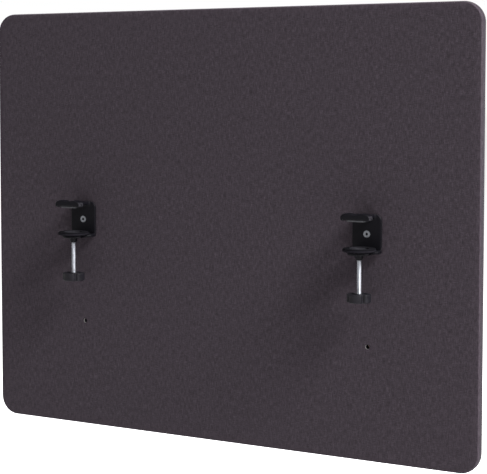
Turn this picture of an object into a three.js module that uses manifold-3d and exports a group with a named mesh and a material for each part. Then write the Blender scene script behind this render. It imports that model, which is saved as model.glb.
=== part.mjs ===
// Desk privacy panel: a cloth-covered board that two screw clamps hold on the edge of a desk top.
// Millimetres, +Z up. X runs along the board, -Y points to the user, +Y away over the desk's edge.
// The origin is the desk's top edge midway between the clamps: Y = 0 is the front of the clamp
// plates, which the edge of the desk top meets, and Z = 0 is the underside of the jaw pads, which
// rest on the desk top.
import * as THREE from 'three';
import { mergeVertices } from 'three/addons/utils/BufferGeometryUtils.js';
import Module from 'manifold-3d';

const wasm = await Module();
wasm.setup();

// --- Driving dimensions ---------------------------------------------------------------------
const GAP = 0.3; // left between pieces that touch

const PANEL_WIDTH = 750;
const PANEL_HEIGHT = 600;
const PANEL_CORNER = 27;
const PANEL_EDGE = 2; // rounding of the long edges
const PANEL_MIDDLE = -20.2; // height of the board's middle
const CLOTH = 0.9; // each cover, glued down
const FELT = 1.9; // each pin layer
const CORE = 9.2;

const CLAMP_SPACING = 444;
const SPARE_DROP = 149; // from the screws in use down to the spare pair

const SCREW = 5; // M5
const HEAD_DIAMETER = 9.6; // countersunk at 90 degrees
const HEAD_RIM = 0.3;
const HEAD_SUNK = 0.1; // below the plate's front
const SOCKET_FLATS = 3;
const SOCKET_DEPTH = 2;
const SCREW_LENGTH = 14;
const INSERT_DIAMETER = 8;
const INSERT_FLANGE = 11;
const INSERT_FLANGE_THICKNESS = 1;
const INSERT_LENGTH = 7;
const CLOTH_HOLE = 6;
const POINT_CHAMFER = 0.6; // on the ends of the screws and spindles

const PLATE_WIDTH = 41;
const PLATE_THICKNESS = 3.5;
const PLATE_TOP = 6.8;
const PLATE_BOTTOM = -43.5;
const PLATE_CORNER = 9;
const SCREW_HEIGHT = -19;
const FILLET = 3;
const STEEL_EDGE = 0.8; // rounding of the bracket's edges

const THROAT = 35; // thickest desk top that fits
const JAW_PAD = 2.2;
const JAW_THICKNESS = 4.5;
const JAW_NECK = 22; // width between the plate and the head
const JAW_HEAD_WIDTH = 41;
const JAW_HEAD_DEPTH = 12;
const JAW_ROOT_FLARE = 3; // each side, where the neck meets the plate
const JAW_ROOT_CURVE = 5;
const JAW_HEAD_CURVE = 8; // where the neck widens to the head
const JAW_HEAD_EDGE = 1.5;
const JAW_REACH = 40.5; // from the desk's edge to the tip of the upper jaw
const CREST_HEIGHT = 10.8; // top of the two crests on the tip
const SADDLE_HEIGHT = 9.2; // dip between them
const CREST_SPAN = 0.5; // crest to middle, as a share of the head's half width
const CREST_SHOULDER = 4; // curve handle outside each crest
const CREST_INNER = 5; // and towards the saddle
const HEAD_SIDE = 4.2; // height where the head is widest
const TOE_HEIGHT = 0.9; // the head's ends reach down to here, beside the pad
const TOE_MIDDLE = 16.6; // from the head's middle to a toe's lowest point
const TOE_INNER = 13.6; // and to its inner side
const DIMPLE_DIAMETER = 3; // in each end of the head
const DIMPLE_DEPTH = 1.2;
const DIMPLE_HEIGHT = 4.4;
const PAD_WIDTH = 25;
const PAD_LENGTH = 11;
const PAD_CORNER = 3;
const PAD_TIP = 1.5; // from the jaw's tip to the pad

const ARM_THICKNESS = 3.5;
const ARM_END_RADIUS = 15.5;
const ARM_END_START = 22; // degrees round from the arm's width, where its end begins
const ARM_TAPER_START = 9; // full width up to here, in front of the plate
const BUSH_RADIUS = 5; // where it is pressed into the arm
const BUSH_FLANGE_RADIUS = 6.6;
const BUSH_FLANGE_THICKNESS = 0.9;
const BUSH_CONE_TOP = 5.6;
const BUSH_CONE_END = 4.3;
const BUSH_END = -50.5;

const AXIS_Y = -24.4; // spindle axis
const SPINDLE = 6; // M6
const NECK = 4;
const DISC_DIAMETER = 44;
const DISC_THICKNESS = 3;
const DISC_LINER = 1.2;
const DISH_RADIUS = 12;
const DISH_FLOOR_RADIUS = 8;
const DISH_DEPTH = 1.4;
const DISC_UNDER_CHAMFER = 1.5;
const DISC_UNDER_RISE = 1;
const DISC_TOP_CHAMFER = 0.5;
const LINER_INNER = 12.6;
const LINER_INSET = 0.8; // from the disc's rim to the liner's
const LINER_CHAMFER = 0.3;
const CLIP_THICKNESS = 0.6;
const CLIP_WIDTH = 2.6;
const KNOB_TOP = -94;
const KNOB_HEIGHT = 11;
const KNOB_RADIUS = 15.8;
const FLUTES = 4;
const FLUTE_DEPTH = 2.2;
const FLUTE_SHARPNESS = 10; // higher makes each flute narrower
const FLUTE_STEPS = 16;
const KNOB_EDGE = 1.2;
const KNOB_FLOOR = 3; // left under the spindle's end

// --- Worked out from those ------------------------------------------------------------------
const PLATE_FRONT = 0;
const PLATE_BACK = PLATE_THICKNESS;
const PANEL_FRONT = PLATE_BACK + GAP;
const FRONT_FELT = PANEL_FRONT + CLOTH + GAP;
const CORE_FRONT = FRONT_FELT + FELT + GAP;
const BACK_FELT = CORE_FRONT + CORE + GAP;
const PANEL_BACK = BACK_FELT + FELT + GAP + CLOTH;
const JAW_UNDERSIDE = JAW_PAD + GAP;
const LINER_TOP = -THROAT;
const DISC_TOP = LINER_TOP - DISC_LINER - GAP;
const DISC_BOTTOM = DISC_TOP - DISC_THICKNESS;
const ARM_TOP = PLATE_BOTTOM + ARM_THICKNESS;
const CORE_INSET = CLOTH + GAP;
const FELT_INSET = PANEL_EDGE + GAP; // clear of the rounding inside the cloth
const CLAMP_SIDES = { left: -CLAMP_SPACING / 2, right: CLAMP_SPACING / 2 };

const HEXAGON = 6;
const ROUND = 24; // steps round a turned piece
const SMALL_ROUND = 16;
const WIDE_ROUND = 36;
const CURVE_STEPS = 6; // in each quarter of an outline
const HEAD_STEPS = 5;
const PANEL_STEPS = 8;
const ARM_STEPS = 10;
const PAD_STEPS = 4;
const EDGE_STEPS = 2; // across a rounded edge
const MERGE_WITHIN = 1e-4;
const PAST = 1; // how far a cut or a joined piece runs past the face it meets

// --- Materials ------------------------------------------------------------------------------
const finish = (color, roughness, metalness = 0) =>
  new THREE.MeshStandardMaterial({ color, roughness, metalness });

const cloth = finish(0x40393f, 0.95);
const felt = finish(0x8c8a86, 1);
const board = finish(0xb49a74, 0.9);
const zinc = finish(0xbec0c6, 0.3, 1);
const blackPaint = finish(0x17181c, 0.45);
const blackPlastic = finish(0x1d1d21, 0.55);
const greyRubber = finish(0x4a4a4d, 0.9);
const blackRubber = finish(0x202022, 0.85);

// --- Geometry helpers -----------------------------------------------------------------------
// A closed geometry as a solid for joining and cutting.
function solid(geometry) {
  const bare = geometry.clone();
  bare.deleteAttribute('normal');
  bare.deleteAttribute('uv');
  const merged = mergeVertices(bare, MERGE_WITHIN);
  const index = merged.index.array;
  const triangles = [];
  for (let i = 0; i < index.length; i += 3) {
    const [a, b, c] = [index[i], index[i + 1], index[i + 2]];
    if (a !== b && b !== c && c !== a) triangles.push(a, b, c);
  }
  const vertProperties = new Float32Array(merged.attributes.position.array);
  const triVerts = new Uint32Array(triangles);
  return new wasm.Manifold(new wasm.Mesh({ numProp: 3, vertProperties, triVerts }));
}

// A solid back as a geometry.
function geometryOf(body) {
  const mesh = body.getMesh();
  const geometry = new THREE.BufferGeometry();
  geometry.setAttribute('position', new THREE.BufferAttribute(new Float32Array(mesh.vertProperties), 3));
  geometry.setIndex(new THREE.BufferAttribute(new Uint32Array(mesh.triVerts), 1));
  geometry.computeVertexNormals();
  return geometry;
}

function roundedRectangle(width, height, radius) {
  const [x, y] = [width / 2 - radius, height / 2 - radius];
  const shape = new THREE.Shape();
  shape.absarc(x, y, radius, 0, Math.PI / 2);
  shape.absarc(-x, y, radius, Math.PI / 2, Math.PI);
  shape.absarc(-x, -y, radius, Math.PI, Math.PI * 1.5);
  shape.absarc(x, -y, radius, Math.PI * 1.5, Math.PI * 2);
  shape.closePath();
  return shape;
}

// An extrusion whose edges are rounded by `edge` inside the outline and the thickness.
function extruded(shape, thickness, edge = 0, curveSegments = CURVE_STEPS) {
  return new THREE.ExtrudeGeometry(shape, {
    depth: thickness - 2 * edge,
    curveSegments,
    bevelEnabled: edge > 0,
    bevelThickness: edge,
    bevelSize: edge,
    bevelOffset: -edge,
    bevelSegments: EDGE_STEPS,
  }).translate(0, 0, edge);
}

// An outline drawn in X and Z, given thickness along +Y from `front`.
const upright = (shape, front, thickness, edge, segments) =>
  extruded(shape, thickness, edge, segments)
    .rotateX(Math.PI / 2)
    .translate(0, front + thickness, 0);

// An outline drawn in Y and Z, given thickness along X about the middle.
const ALONG_X = new THREE.Matrix4().makeBasis(
  new THREE.Vector3(0, 1, 0),
  new THREE.Vector3(0, 0, 1),
  new THREE.Vector3(1, 0, 0),
);
const crosswise = (shape, width) =>
  extruded(shape, width)
    .translate(0, 0, -width / 2)
    .applyMatrix4(ALONG_X);

// A closed profile of [radius, height] corners turned about the Z axis.
function turned(profile, segments = ROUND) {
  const corners = [...profile, profile[0]].map(([r, z]) => new THREE.Vector2(r, z));
  return new THREE.LatheGeometry(corners, segments).rotateX(Math.PI / 2);
}

// A profile that starts and ends on the Z axis.
const turnedSolid = (profile, segments = ROUND) =>
  new THREE.LatheGeometry(
    profile.map(([r, z]) => new THREE.Vector2(r, z)),
    segments,
  ).rotateX(Math.PI / 2);

// A drill along Y or Z, for cutting round holes.
const drillY = (diameter, x, z, from, to) =>
  solid(
    new THREE.CylinderGeometry(diameter / 2, diameter / 2, to - from, SMALL_ROUND)
      .translate(x, (from + to) / 2, z),
  );
const drillZ = (diameter, x, y, from, to) =>
  solid(
    new THREE.CylinderGeometry(diameter / 2, diameter / 2, to - from, SMALL_ROUND)
      .rotateX(Math.PI / 2)
      .translate(x, y, (from + to) / 2),
  );

function named(name, geometry, material) {
  const mesh = new THREE.Mesh(geometry, material);
  mesh.name = name;
  return mesh;
}

// --- Board ----------------------------------------------------------------------------------
// The four screw places: the pair in use, near the board's middle, and the spare pair.
const SCREW_PLACES = Object.entries(CLAMP_SIDES).flatMap(([side, x]) => [
  { name: `${side}_insert`, x, z: SCREW_HEIGHT },
  { name: `${side}_spare_insert`, x, z: SCREW_HEIGHT - SPARE_DROP },
]);

// The board's outline, `inset` inside the finished panel.
const panelSlab = (inset, front, thickness, edge) =>
  solid(
    upright(
      roundedRectangle(PANEL_WIDTH - 2 * inset, PANEL_HEIGHT - 2 * inset, PANEL_CORNER - inset),
      front,
      thickness,
      edge,
      PANEL_STEPS,
    ).translate(0, 0, PANEL_MIDDLE),
  );

const drilled = (body, diameter, from, to) =>
  SCREW_PLACES.reduce((left, { x, z }) => left.subtract(drillY(diameter, x, z, from, to)), body);

function coreBoard() {
  const flangeSeat = CORE_FRONT + INSERT_FLANGE_THICKNESS + GAP;
  const insertEnd = CORE_FRONT + INSERT_LENGTH + GAP;
  let body = panelSlab(CORE_INSET, CORE_FRONT, CORE);
  body = drilled(body, INSERT_FLANGE + 2 * GAP, CORE_FRONT - PAST, flangeSeat);
  body = drilled(body, INSERT_DIAMETER + 2 * GAP, CORE_FRONT - PAST, insertEnd);
  return geometryOf(body);
}

function frontFelt() {
  const body = panelSlab(FELT_INSET, FRONT_FELT, FELT);
  return geometryOf(drilled(body, CLOTH_HOLE, FRONT_FELT - PAST, FRONT_FELT + FELT + PAST));
}

const backFelt = () => geometryOf(panelSlab(FELT_INSET, BACK_FELT, FELT));

// Each cover wraps half of the edge, and the two meet in a seam along its middle.
function cover(isFront) {
  const thickness = PANEL_BACK - PANEL_FRONT;
  const outside = panelSlab(0, PANEL_FRONT, thickness, PANEL_EDGE);
  const inside = panelSlab(CLOTH, PANEL_FRONT + CLOTH, thickness - 2 * CLOTH, PANEL_EDGE - CLOTH);
  const halfDepth = thickness / 2 - GAP / 2;
  const middleOfHalf = isFront ? PANEL_FRONT + halfDepth / 2 : PANEL_BACK - halfDepth / 2;
  const half = new THREE.BoxGeometry(PANEL_WIDTH + 2 * PAST, halfDepth + 2 * PAST, PANEL_HEIGHT + 2 * PAST)
    .translate(0, middleOfHalf + (isFront ? -PAST : PAST), PANEL_MIDDLE);
  const body = outside.subtract(inside).intersect(solid(half));
  return geometryOf(isFront ? drilled(body, CLOTH_HOLE, PANEL_FRONT - PAST, FRONT_FELT) : body);
}

// A threaded bush pressed into the board from the front.
const insert = () =>
  turned([
    [SCREW / 2 + GAP, 0],
    [INSERT_FLANGE / 2, 0],
    [INSERT_FLANGE / 2, INSERT_FLANGE_THICKNESS],
    [INSERT_DIAMETER / 2, INSERT_FLANGE_THICKNESS],
    [INSERT_DIAMETER / 2, INSERT_LENGTH],
    [SCREW / 2 + GAP, INSERT_LENGTH],
  ], SMALL_ROUND).rotateX(-Math.PI / 2);

function panel() {
  const group = new THREE.Group();
  group.add(named('core_board', coreBoard(), board));
  group.add(named('front_pin_felt', frontFelt(), felt));
  group.add(named('back_pin_felt', backFelt(), felt));
  group.add(named('front_cover', cover(true), cloth));
  group.add(named('back_cover', cover(false), cloth));
  for (const { name, x, z } of SCREW_PLACES) {
    const bush = named(name, insert(), blackPaint);
    bush.position.set(x, CORE_FRONT + GAP, z);
    group.add(bush);
  }
  return group;
}

// --- Clamp ----------------------------------------------------------------------------------
// Plan of the upper jaw: a neck that flares to the plate at its root and to the head at its tip.
function jawPlan() {
  const neck = JAW_NECK / 2;
  const root = neck + JAW_ROOT_FLARE;
  const head = JAW_HEAD_WIDTH / 2 - JAW_HEAD_EDGE;
  const headBack = -JAW_REACH + JAW_HEAD_DEPTH;
  const tip = -JAW_REACH + 2 * JAW_HEAD_EDGE;
  const shape = new THREE.Shape();
  shape.moveTo(root, PLATE_BACK - PAST);
  shape.lineTo(root, PLATE_FRONT);
  shape.quadraticCurveTo(neck, PLATE_FRONT, neck, PLATE_FRONT - JAW_ROOT_CURVE);
  shape.lineTo(neck, headBack + JAW_HEAD_CURVE);
  shape.quadraticCurveTo(neck, headBack, head, headBack);
  shape.lineTo(head, tip);
  shape.lineTo(-head, tip);
  shape.lineTo(-head, headBack);
  shape.quadraticCurveTo(-neck, headBack, -neck, headBack + JAW_HEAD_CURVE);
  shape.lineTo(-neck, PLATE_FRONT - JAW_ROOT_CURVE);
  shape.quadraticCurveTo(-neck, PLATE_FRONT, -root, PLATE_FRONT);
  shape.lineTo(-root, PLATE_BACK - PAST);
  shape.closePath();
  return shape;
}

// Front view of the jaw's head: two rounded crests with a saddle between them, and a toe that
// reaches down on each side of the pad.
function jawHeadOutline() {
  const half = JAW_HEAD_WIDTH / 2;
  const crest = half * CREST_SPAN;
  const shoulder = crest + CREST_SHOULDER;
  const inner = crest - CREST_INNER;
  const base = JAW_UNDERSIDE;
  const top = CREST_HEIGHT;
  const saddle = SADDLE_HEIGHT;
  const handle = CREST_SHOULDER;
  const shape = new THREE.Shape();
  shape.moveTo(half, HEAD_SIDE);
  shape.bezierCurveTo(half, top - STEEL_EDGE, shoulder, top, crest, top);
  shape.bezierCurveTo(inner, top, handle, saddle, 0, saddle);
  shape.bezierCurveTo(-handle, saddle, -inner, top, -crest, top);
  shape.bezierCurveTo(-shoulder, top, -half, top - STEEL_EDGE, -half, HEAD_SIDE);
  shape.quadraticCurveTo(-half, TOE_HEIGHT, -TOE_MIDDLE, TOE_HEIGHT);
  shape.lineTo(-TOE_INNER, base);
  shape.lineTo(TOE_INNER, base);
  shape.lineTo(TOE_MIDDLE, TOE_HEIGHT);
  shape.quadraticCurveTo(half, TOE_HEIGHT, half, HEAD_SIDE);
  return shape;
}

// Plan of the lower arm: as wide as the plate, tapering to a round end about the spindle.
function armPlan() {
  const half = PLATE_WIDTH / 2;
  const meets = THREE.MathUtils.degToRad(ARM_END_START);
  const shape = new THREE.Shape();
  shape.moveTo(half, PLATE_BACK - PAST);
  shape.lineTo(half, PLATE_FRONT - ARM_TAPER_START);
  shape.absarc(0, AXIS_Y, ARM_END_RADIUS, meets, Math.PI - meets, true);
  shape.lineTo(-half, PLATE_FRONT - ARM_TAPER_START);
  shape.lineTo(-half, PLATE_BACK - PAST);
  shape.closePath();
  return shape;
}

// The hollow quarter round that fills the corner between the plate and an arm.
function filletOutline(cornerZ, direction) {
  const shape = new THREE.Shape();
  const back = PLATE_FRONT + PAST;
  const centreZ = cornerZ + direction * FILLET;
  shape.moveTo(back, cornerZ - direction * PAST);
  shape.lineTo(back, centreZ);
  shape.lineTo(PLATE_FRONT, centreZ);
  const to = -direction * Math.PI / 2;
  shape.absarc(PLATE_FRONT - FILLET, centreZ, FILLET, 0, to, direction > 0);
  shape.lineTo(PLATE_FRONT - FILLET, cornerZ - direction * PAST);
  shape.closePath();
  return shape;
}

// A countersunk head and shank along +Y from `front` to `end`, grown by `room` all round.
function countersunk(room, front, end) {
  const head = HEAD_DIAMETER / 2 + room;
  const shank = SCREW / 2 + room;
  const rim = HEAD_SUNK + HEAD_RIM + room;
  return turnedSolid([
    [0, front],
    [head, front],
    [head, rim],
    [shank, rim + head - shank],
    [shank, end - POINT_CHAMFER],
    [shank - POINT_CHAMFER, end],
    [0, end],
  ]).rotateX(-Math.PI / 2);
}

// A round dimple in one end of the jaw's head.
function dimple(side) {
  const depth = DIMPLE_DEPTH + PAST;
  const middle = JAW_HEAD_WIDTH / 2 - DIMPLE_DEPTH + depth / 2;
  const drill = new THREE.CylinderGeometry(DIMPLE_DIAMETER / 2, DIMPLE_DIAMETER / 2, depth, SMALL_ROUND);
  const headMiddle = JAW_HEAD_DEPTH / 2 - JAW_REACH;
  return solid(drill.rotateZ(Math.PI / 2).translate(side * middle, headMiddle, DIMPLE_HEIGHT));
}

function bracket() {
  const plateHeight = PLATE_TOP - PLATE_BOTTOM;
  const outline = roundedRectangle(PLATE_WIDTH, plateHeight, PLATE_CORNER);
  const plate = upright(outline, PLATE_FRONT, PLATE_THICKNESS, STEEL_EDGE)
    .translate(0, 0, (PLATE_TOP + PLATE_BOTTOM) / 2);
  const jaw = extruded(jawPlan(), JAW_THICKNESS, STEEL_EDGE).translate(0, 0, JAW_UNDERSIDE);
  const head = upright(jawHeadOutline(), -JAW_REACH, JAW_HEAD_DEPTH, JAW_HEAD_EDGE, HEAD_STEPS);
  const arm = extruded(armPlan(), ARM_THICKNESS, STEEL_EDGE, ARM_STEPS).translate(0, 0, PLATE_BOTTOM);
  const filletWidth = PLATE_WIDTH - 2 * PLATE_CORNER;
  const upperFillet = crosswise(filletOutline(JAW_UNDERSIDE, -1), filletWidth);
  const lowerFillet = crosswise(filletOutline(ARM_TOP, 1), filletWidth);
  const joined = [plate, jaw, head, arm, upperFillet, lowerFillet]
    .map(solid)
    .reduce((whole, piece) => whole.add(piece));
  const screwHole = solid(countersunk(GAP, -PAST, PLATE_BACK + PAST)).translate(0, 0, SCREW_HEIGHT);
  const seat = 2 * (BUSH_RADIUS + GAP);
  const bushHole = drillZ(seat, 0, AXIS_Y, PLATE_BOTTOM - PAST, ARM_TOP + PAST);
  const cuts = [screwHole, bushHole, dimple(-1), dimple(1)];
  return geometryOf(cuts.reduce((left, cut) => left.subtract(cut), joined));
}

// Threaded bush pressed into the lower arm: a flange under the arm and a tapering nose.
function threadedBush() {
  const flangeTop = PLATE_BOTTOM - GAP;
  const flangeEnd = flangeTop - BUSH_FLANGE_THICKNESS;
  return turned([
    [SPINDLE / 2 + GAP, BUSH_END],
    [BUSH_CONE_END, BUSH_END],
    [BUSH_CONE_TOP, flangeEnd],
    [BUSH_FLANGE_RADIUS, flangeEnd],
    [BUSH_FLANGE_RADIUS, flangeTop],
    [BUSH_RADIUS, flangeTop],
    [BUSH_RADIUS, ARM_TOP],
    [SPINDLE / 2 + GAP, ARM_TOP],
  ]);
}

// Countersunk screw with a hexagon socket, its face towards the user.
function mountingScrew() {
  const corner = SOCKET_FLATS / 2 / Math.cos(Math.PI / 6);
  const socket = new THREE.CylinderGeometry(corner, corner, 2 * SOCKET_DEPTH, HEXAGON)
    .translate(0, HEAD_SUNK, 0);
  return geometryOf(solid(countersunk(0, HEAD_SUNK, SCREW_LENGTH)).subtract(solid(socket)));
}

// Soft pad glued under the jaw's head, which keeps the desk top from marks.
function jawPad() {
  const shape = roundedRectangle(PAD_WIDTH, PAD_LENGTH, PAD_CORNER);
  return extruded(shape, JAW_PAD, 0, PAD_STEPS)
    .translate(0, PAD_TIP + PAD_LENGTH / 2 - JAW_REACH, 0);
}

// The foot that presses on the underside of the desk top, dished round the spindle's end.
const pressureDisc = () =>
  turned([
    [NECK / 2 + GAP, DISC_BOTTOM],
    [DISC_DIAMETER / 2 - DISC_UNDER_CHAMFER, DISC_BOTTOM],
    [DISC_DIAMETER / 2, DISC_BOTTOM + DISC_UNDER_RISE],
    [DISC_DIAMETER / 2, DISC_TOP - DISC_TOP_CHAMFER],
    [DISC_DIAMETER / 2 - DISC_TOP_CHAMFER, DISC_TOP],
    [DISH_RADIUS, DISC_TOP],
    [DISH_FLOOR_RADIUS, DISC_TOP - DISH_DEPTH],
    [NECK / 2 + GAP, DISC_TOP - DISH_DEPTH],
  ], WIDE_ROUND);

// Soft ring round the dish, which meets the desk top.
function discLiner() {
  const base = LINER_TOP - DISC_LINER;
  const rim = DISC_DIAMETER / 2 - LINER_INSET;
  return turned([
    [LINER_INNER, base],
    [rim, base],
    [rim, LINER_TOP - LINER_CHAMFER],
    [rim - LINER_CHAMFER, LINER_TOP],
    [LINER_INNER, LINER_TOP],
  ], WIDE_ROUND);
}

// Threaded rod: its thin neck passes through the disc, and its lower end is fixed in the knob's bore.
function spindle() {
  const shoulder = DISC_BOTTOM - GAP;
  const neckEnd = DISC_TOP - DISH_DEPTH + 2 * GAP + CLIP_THICKNESS;
  const foot = KNOB_TOP - KNOB_HEIGHT + KNOB_FLOOR + GAP;
  return turnedSolid([
    [0, foot],
    [SPINDLE / 2 - POINT_CHAMFER, foot],
    [SPINDLE / 2, foot + POINT_CHAMFER],
    [SPINDLE / 2, shoulder],
    [NECK / 2, shoulder],
    [NECK / 2, neckEnd],
    [0, neckEnd],
  ], SMALL_ROUND);
}

// Push-on ring that keeps the disc on the spindle's neck.
function retainingRing() {
  const base = DISC_TOP - DISH_DEPTH + GAP;
  return turned([
    [NECK / 2 + GAP, base],
    [NECK / 2 + CLIP_WIDTH, base],
    [NECK / 2 + CLIP_WIDTH, base + CLIP_THICKNESS],
    [NECK / 2 + GAP, base + CLIP_THICKNESS],
  ], SMALL_ROUND);
}

// Round hand knob with four flutes in its side.
function knob() {
  const steps = FLUTE_STEPS * FLUTES;
  const points = [];
  for (let i = 0; i < steps; i += 1) {
    const angle = (i / steps) * Math.PI * 2;
    const sunk = ((1 - Math.cos(FLUTES * angle)) / 2) ** FLUTE_SHARPNESS;
    const radius = KNOB_RADIUS - FLUTE_DEPTH * sunk;
    points.push(new THREE.Vector2(radius * Math.cos(angle), radius * Math.sin(angle)));
  }
  const bottom = KNOB_TOP - KNOB_HEIGHT;
  const body = extruded(new THREE.Shape(points), KNOB_HEIGHT, KNOB_EDGE).translate(0, 0, bottom);
  const bore = drillZ(SPINDLE + 2 * GAP, 0, 0, bottom + KNOB_FLOOR, KNOB_TOP + PAST);
  return geometryOf(solid(body).subtract(bore));
}

function clamp(side, x) {
  const group = new THREE.Group();
  group.position.x = x;
  group.add(named(`${side}_bracket`, bracket(), blackPaint));
  group.add(named(`${side}_jaw_pad`, jawPad(), greyRubber));
  const screw = named(`${side}_mounting_screw`, mountingScrew(), zinc);
  screw.position.z = SCREW_HEIGHT;
  group.add(screw);
  const onAxis = new THREE.Group();
  onAxis.position.y = AXIS_Y;
  onAxis.add(named(`${side}_threaded_bush`, threadedBush(), blackPaint));
  onAxis.add(named(`${side}_pressure_disc`, pressureDisc(), blackPlastic));
  onAxis.add(named(`${side}_disc_liner`, discLiner(), blackRubber));
  onAxis.add(named(`${side}_spindle`, spindle(), zinc));
  onAxis.add(named(`${side}_retaining_ring`, retainingRing(), zinc));
  onAxis.add(named(`${side}_knob`, knob(), blackPlastic));
  group.add(onAxis);
  return group;
}

const deskPanel = new THREE.Group();
deskPanel.add(panel());
for (const [side, x] of Object.entries(CLAMP_SIDES)) deskPanel.add(clamp(side, x));

export default deskPanel;
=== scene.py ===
"""Looks of a desk privacy panel: a cloth-covered board on two screw clamps, on its CAD frame.

Shapes are written in millimetres in the CAD's own frame: X along the board, -Y to the user, +Z up.
"""

import math

import bmesh
import bpy
import numpy as np
from mathutils import Matrix, Vector, noise
from mathutils.geometry import delaunay_2d_cdt


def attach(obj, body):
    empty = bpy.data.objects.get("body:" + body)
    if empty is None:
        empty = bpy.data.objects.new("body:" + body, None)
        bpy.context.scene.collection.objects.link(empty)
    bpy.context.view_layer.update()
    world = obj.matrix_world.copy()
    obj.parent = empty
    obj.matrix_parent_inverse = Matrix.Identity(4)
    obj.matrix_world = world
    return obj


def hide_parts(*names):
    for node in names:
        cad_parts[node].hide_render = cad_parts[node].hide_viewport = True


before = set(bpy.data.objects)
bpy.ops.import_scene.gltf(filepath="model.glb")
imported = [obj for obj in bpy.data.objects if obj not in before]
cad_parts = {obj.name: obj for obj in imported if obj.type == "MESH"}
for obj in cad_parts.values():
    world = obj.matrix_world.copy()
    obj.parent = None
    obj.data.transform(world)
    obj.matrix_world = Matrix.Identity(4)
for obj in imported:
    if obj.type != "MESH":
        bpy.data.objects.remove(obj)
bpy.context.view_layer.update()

MM = 0.001

# --- Sizes in millimetres, as in the CAD ------------------------------------------------------
BOARD = (750.0, 600.0)
BOARD_CORNER = 27.0
BOARD_MIDDLE_Z = -20.2
BOARD_FRONT, BOARD_BACK = 3.8, 19.8
CLOTH = 0.9
EDGE = 2.4  # how far the edge's rounding reaches onto each face
SEAM_GAP = 0.3
CLOTH_HOLE = 3.0  # radius
CLAMP_X = {"left": -222.0, "right": 222.0}
SCREW_Z = -19.0
SPARE_Z = -168.0
AXIS_Y = -24.4  # of the spindle
DISH_RADIUS = 12.6  # of the dish in the foot, inside its liner
SOCKET_SHADE = 1.9  # radius of the painted shade in the screw's socket
M5_PITCH, M6_PITCH = 0.8, 1.0
INSERT_FRONT = 7.5

PLATE = (41.0, 0.0, 3.5, -43.5, 6.8)  # width, front, back, bottom, top
PLATE_CORNER = 9.0
JAW = (2.5, 7.0)  # underside and top of the upper jaw
JAW_NECK, JAW_HEAD = 11.0, 20.5  # half widths
JAW_TIP, JAW_HEAD_BACK = -40.5, -28.5
CREST_X, CREST_Z, SADDLE_Z = 10.25, 10.8, 9.2
HEAD_SIDE, TOE_Z, TOE_MIDDLE, TOE_INNER = 4.2, 0.9, 16.6, 13.6
ARM = (-43.5, -40.0)  # underside and top of the lower arm
ARM_END = 15.5  # radius of its round end
BRACKET_EDGE, HEAD_EDGE = 0.8, 1.5  # rounding
FILLET, FILLET_HALF_WIDTH = 3.0, 11.5
BRACKET_VOXEL, BRACKET_SMOOTHING = 0.5, 5
DIMPLE_BEHIND_TIP, DIMPLE_Z = 6.0, 4.4
PAD_HALF_WIDTH, PAD_CORNER, PAD_TOP, PAD_EDGE = 12.5, 3.0, 2.2, 0.35
PAD_REACH = (12.5, 1.5)  # its back and front, measured from the jaw's tip
KNOB = (-105.0, -94.0)  # bottom and top
KNOB_RADIUS, KNOB_EDGE = 15.8, 1.2
FLUTE_DEPTH, FLUTE_SHARPNESS, FLUTES = 3.0, 12, 4
RIB_DEPTH, RIBS = 0.14, 60

TURN = 2 * math.pi
QUARTERS = ((1, 1), (-1, 1), (-1, -1), (1, -1))  # signs of a rectangle's corners, in order
SMOOTH_BELOW, SOFT_SMOOTH_BELOW = 38.0, 50.0  # degrees; the second is for cloth and brackets
MERGE_WITHIN, CLOTH_MERGE_WITHIN = 2e-6, 5e-6  # metres


# --- Making meshes ----------------------------------------------------------------------------
def mesh_object(name, points, faces):
    """A smooth-shaded object from points in millimetres.

    Doubles are merged and the faces are turned outwards.
    """
    mesh = bpy.data.meshes.new(name)
    mesh.from_pydata([tuple(float(c) * MM for c in p) for p in points], [], faces)
    work = bmesh.new()
    work.from_mesh(mesh)
    bmesh.ops.remove_doubles(work, verts=work.verts, dist=MERGE_WITHIN)
    bmesh.ops.recalc_face_normals(work, faces=work.faces)
    work.to_mesh(mesh)
    work.free()
    mesh.shade_smooth()
    mesh.set_sharp_from_angle(angle=math.radians(SMOOTH_BELOW))
    made = bpy.data.objects.new(name, mesh)
    bpy.context.scene.collection.objects.link(made)
    return made


def applied(obj):
    """Applies every modifier on the object."""
    bpy.context.view_layer.update()
    evaluated = obj.evaluated_get(bpy.context.evaluated_depsgraph_get())
    result = bpy.data.meshes.new_from_object(evaluated)
    obj.modifiers.clear()
    obj.data = result
    return obj


def finish_piece(obj, look, body, slot, *nodes):
    """Gives the piece its material and body, and hides the CAD nodes that it stands for. Its slot
    is not used.
    """
    obj.data.materials.clear()
    obj.data.materials.append(look)
    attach(obj, body)
    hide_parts(*nodes)


def curve(start, handle, end, steps):
    """Points on a quadratic curve, both ends included."""
    t = np.linspace(0, 1, steps + 1)[:, None]
    start, handle, end = (np.array(p) for p in (start, handle, end))
    return (1 - t) ** 2 * start + 2 * t * (1 - t) * handle + t**2 * end


def bezier(start, first, second, end, steps):
    """Points on a cubic curve, without its end."""
    t = np.linspace(0, 1, steps + 1)[:-1, None]
    start, first, second, end = (np.array(p, float) for p in (start, first, second, end))
    first_half = (1 - t) ** 3 * start + 3 * t * (1 - t) ** 2 * first
    return first_half + 3 * t**2 * (1 - t) * second + t**3 * end


def rounded(corners, loop=True, steps=4):
    """A path of (across, along, cut) corners, each cut back by that much and rounded."""
    path = []
    for i, (across, along, cut) in enumerate(corners):
        here = np.array((across, along), float)
        if cut == 0 or (not loop and i in (0, len(corners) - 1)):
            path.append(here)
            continue
        ends = []
        for other in (corners[i - 1], corners[(i + 1) % len(corners)]):
            away = np.array(other[:2], float) - here
            ends.append(here + away / np.linalg.norm(away) * cut)
        path.extend(curve(ends[0], here, ends[1], steps))
    return np.array(path)


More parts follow.
